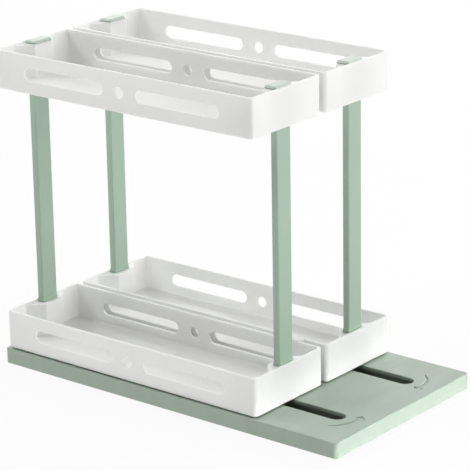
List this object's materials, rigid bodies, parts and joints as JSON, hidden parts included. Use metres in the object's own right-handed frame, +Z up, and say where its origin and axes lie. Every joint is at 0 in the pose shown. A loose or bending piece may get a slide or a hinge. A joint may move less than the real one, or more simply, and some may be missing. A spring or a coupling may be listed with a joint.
{
  "type": "pull-out spice organizer",
  "caption": "Two narrow two-tier tray racks side by side on a flat base; each rack slides forward along a slot and swivels at its rear end.",
  "frame": {"origin": "centre of the base's outline, on the surface that the foot pads stand on", "axes": "+X to the user's right, +Y from the exposed front of the base to its rear, +Z up; the user stands at -Y"},
  "size_m": [0.158, 0.3, 0.237],
  "materials": {
    "white_plastic": "satin white polypropylene",
    "sage_plastic": "satin sage-green ABS",
    "black_plastic": "textured black ABS",
    "acetal": "natural acetal, smooth",
    "screw_steel": "zinc plated",
    "pad_rubber": "matt"
  },
  "bodies": {
    "base": {"base_shell": "sage_plastic", "base_cover": "black_plastic", "cover_screws": "screw_steel", "foot_pads": "pad_rubber"},
    "left_carriage": {"left_slide_shoe": "acetal"},
    "left_rack": {"left_pivot_stud": "screw_steel", "left_retaining_washer": "screw_steel", "left_pivot_screws": "screw_steel", "left_lower_tray": "white_plastic", "left_upper_tray": "white_plastic", "left_front_post": "sage_plastic", "left_rear_post": "sage_plastic", "left_front_cap": "sage_plastic", "left_rear_cap": "sage_plastic", "left_post_screws": "screw_steel", "left_glide_pads": "acetal"},
    "right_carriage": {"right_slide_shoe": "acetal"},
    "right_rack": {"right_pivot_stud": "screw_steel", "right_retaining_washer": "screw_steel", "right_pivot_screws": "screw_steel", "right_lower_tray": "white_plastic", "right_upper_tray": "white_plastic", "right_front_post": "sage_plastic", "right_rear_post": "sage_plastic", "right_front_cap": "sage_plastic", "right_rear_cap": "sage_plastic", "right_post_screws": "screw_steel", "right_glide_pads": "acetal"}
  },
  "joints": [
    {"name": "left_pull", "type": "slide", "parent": "base", "child": "left_carriage", "axis": [0, -1, 0], "range_m": [0, 0.2534]},
    {"name": "left_swivel", "type": "hinge", "parent": "left_carriage", "child": "left_rack", "pos_m": [-0.04, 0.1317, 0.012], "axis": [0, 0, -1], "range_deg": [0, 90]},
    {"name": "right_pull", "type": "slide", "parent": "base", "child": "right_carriage", "axis": [0, -1, 0], "range_m": [0, 0.2534]},
    {"name": "right_swivel", "type": "hinge", "parent": "right_carriage", "child": "right_rack", "pos_m": [0.04, 0.1317, 0.012], "axis": [0, 0, 1], "range_deg": [0, 90]}
  ]
}
